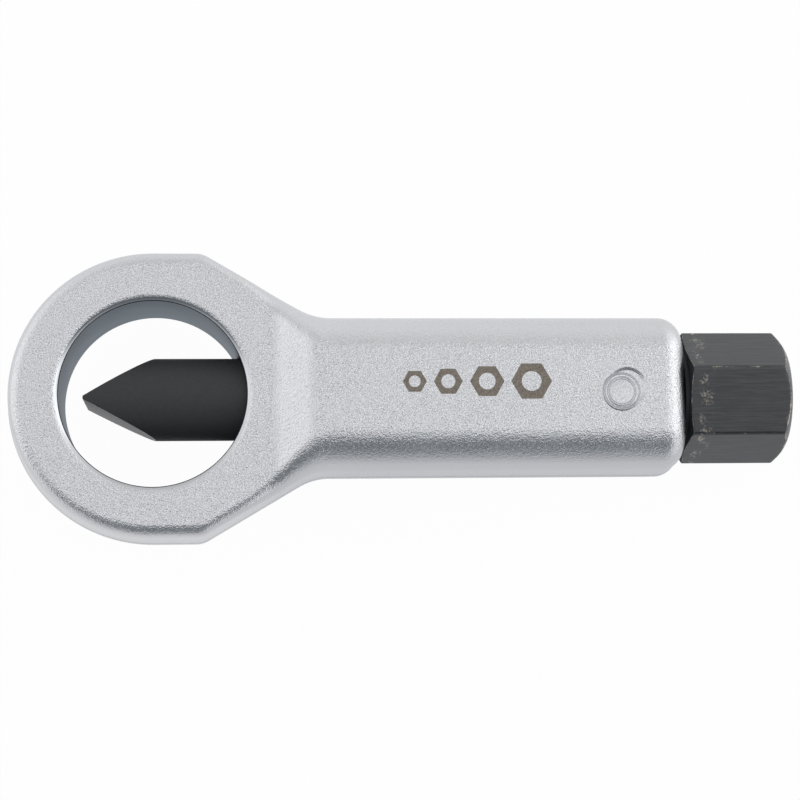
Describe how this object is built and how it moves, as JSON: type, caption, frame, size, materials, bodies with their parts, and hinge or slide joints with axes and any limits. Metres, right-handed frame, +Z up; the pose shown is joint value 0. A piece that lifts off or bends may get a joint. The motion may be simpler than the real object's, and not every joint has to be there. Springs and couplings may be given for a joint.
{
  "type": "nut splitter",
  "caption": "Hand nut splitter: a forged ring and barrel, a hexagon-headed forcing screw in the barrel, and a sliding bevelled chisel that the screw drives across the ring.",
  "frame": {"origin": "under the middle of the whole tool, on the plane of the barrel's back flat, which it lies on", "axes": "+X along the screw's axis from the ring towards the hexagon head, +Y across the tool, +Z up out of the front flat and along the nut's axis"},
  "size_m": [0.1138, 0.0422, 0.0205],
  "materials": {
    "plated_forging": "shot-blasted forging with satin bright plating",
    "black_screw": "black oxide over drawn bar, worn bright on the edges",
    "black_chisel": "black oxide over ground hardened steel",
    "bearing_steel": "polished hardened ball",
    "spring_wire": "drawn spring wire",
    "screw_steel": "black set screw"
  },
  "bodies": {
    "frame": {"frame": "plated_forging", "guide_screw": "screw_steel"},
    "chisel": {"chisel": "black_chisel", "thrust_ball": "bearing_steel", "swivel_ring": "spring_wire"},
    "spindle": {"spindle": "black_screw"}
  },
  "joints": [
    {"name": "chisel_slide", "type": "slide", "parent": "frame", "child": "chisel", "axis": [1, 0, 0], "range_m": [0, 0.024]},
    {"name": "spindle_turn", "type": "hinge", "parent": "chisel", "child": "spindle", "pos_m": [0.02, 0, 0.01025], "axis": [1, 0, 0], "range_deg": [0, 5760]}
  ],
  "couplings": [
    {"joint": "spindle_turn", "follows": "chisel_slide", "rad_per_m": 4188.8}
  ]
}
